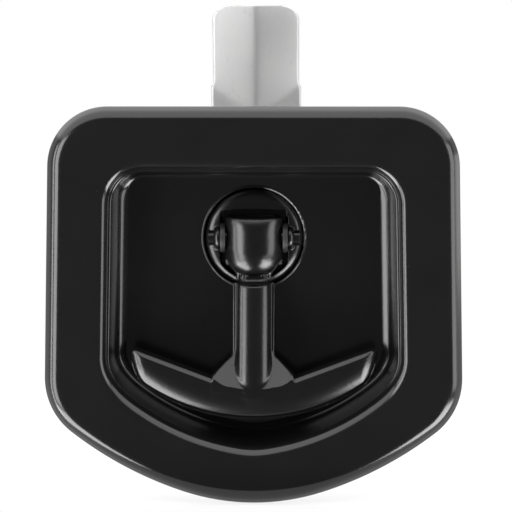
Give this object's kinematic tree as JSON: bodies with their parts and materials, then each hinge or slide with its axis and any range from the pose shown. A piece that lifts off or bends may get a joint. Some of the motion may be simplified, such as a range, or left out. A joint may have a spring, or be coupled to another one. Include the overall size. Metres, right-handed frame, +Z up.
{
  "type": "recessed T-handle latch",
  "caption": "Flush latch: stamped shield-shaped pan with a deep pocket, folding anchor-shaped T-handle, turning rotor and a ridged cam behind; non-locking, stud mounted.",
  "frame": {"origin": "centre of the stud rectangle on the panel face, where the spindle axis crosses it", "axes": "+Y points from the front through the panel to the cam, +Z up the plate, +X to the right seen from the front"},
  "size_m": [0.1214, 0.058, 0.1452],
  "materials": {
    "black_powder_coat": "gloss black powder coat with fine orange peel",
    "zinc_plate": "dull clear zinc plate",
    "bare_steel": "bright spring steel",
    "rubber": "matt black",
    "bronze": "sintered bronze",
    "nylon": "black nylon"
  },
  "bodies": {
    "pan_body": {"pan": "black_powder_coat", "gasket": "rubber", "weld_studs": "zinc_plate", "bearing_bush": "bronze", "stop_plate": "zinc_plate"},
    "rotor_body": {"rotor": "black_powder_coat", "handle_pin": "bare_steel", "pivot_spacers": "nylon", "detent_leaf": "bare_steel", "leaf_rivet": "bare_steel", "rotor_seal": "rubber", "thrust_washer": "nylon", "stop_washer": "zinc_plate", "compression_spring": "zinc_plate", "spring_retainer": "zinc_plate", "retaining_ring": "bare_steel", "cam": "zinc_plate", "cam_washer": "zinc_plate", "lock_washer": "zinc_plate", "cam_screw": "zinc_plate"},
    "handle_body": {"handle": "black_powder_coat"}
  },
  "joints": [
    {"name": "rotor_turn", "type": "hinge", "parent": "pan_body", "child": "rotor_body", "pos_m": [0, 0, 0], "axis": [0, 1, 0], "range_deg": [0, 90]},
    {"name": "handle_fold", "type": "hinge", "parent": "rotor_body", "child": "handle_body", "pos_m": [0, 0.012, 0], "axis": [-1, 0, 0], "range_deg": [0, 90], "deforming": ["detent_leaf"]}
  ],
  "couplings": [
    {"joint": "handle_fold", "follows": "rotor_turn", "ratio": 1}
  ]
}
